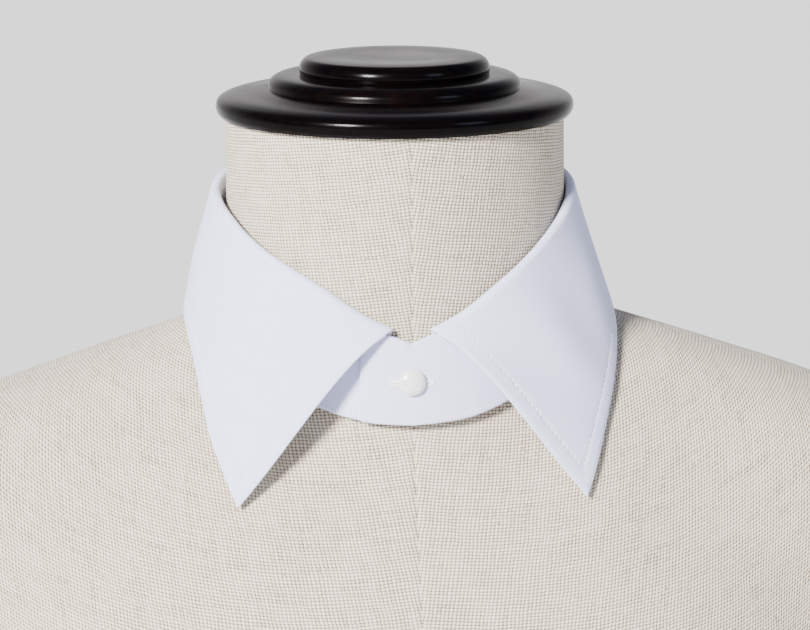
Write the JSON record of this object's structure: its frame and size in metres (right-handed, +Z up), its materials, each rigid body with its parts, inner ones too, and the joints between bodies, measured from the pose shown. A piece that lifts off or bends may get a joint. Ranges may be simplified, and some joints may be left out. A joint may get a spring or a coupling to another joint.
{
  "type": "detachable shirt collar on a limbless dress form",
  "caption": "White turn-down shirt collar with spread points, worn on a linen-covered limbless dress form with a turned wooden neck cap.",
  "frame": {"origin": "on the flat base of the form, on the neck's vertical axis", "axes": "+Z up along the neck's axis, -Y to the front where the collar opens, +X to the wearer's left"},
  "size_m": [0.4116, 0.2289, 0.64],
  "materials": {
    "collar_cloth": "crisp white cotton, fused and pressed, fine plain weave",
    "form_linen": "natural unbleached linen, coarse plain weave with slubs",
    "cap_wood": "turned wood, near-black brown gloss lacquer",
    "stud_face": "polished, pearl white"
  },
  "bodies": {
    "root": {"collar_leaf": "collar_cloth", "collar_stand": "collar_cloth", "front_stud": "stud_face", "form_body": "form_linen", "form_cap": "cap_wood"}
  },
  "joints": []
}
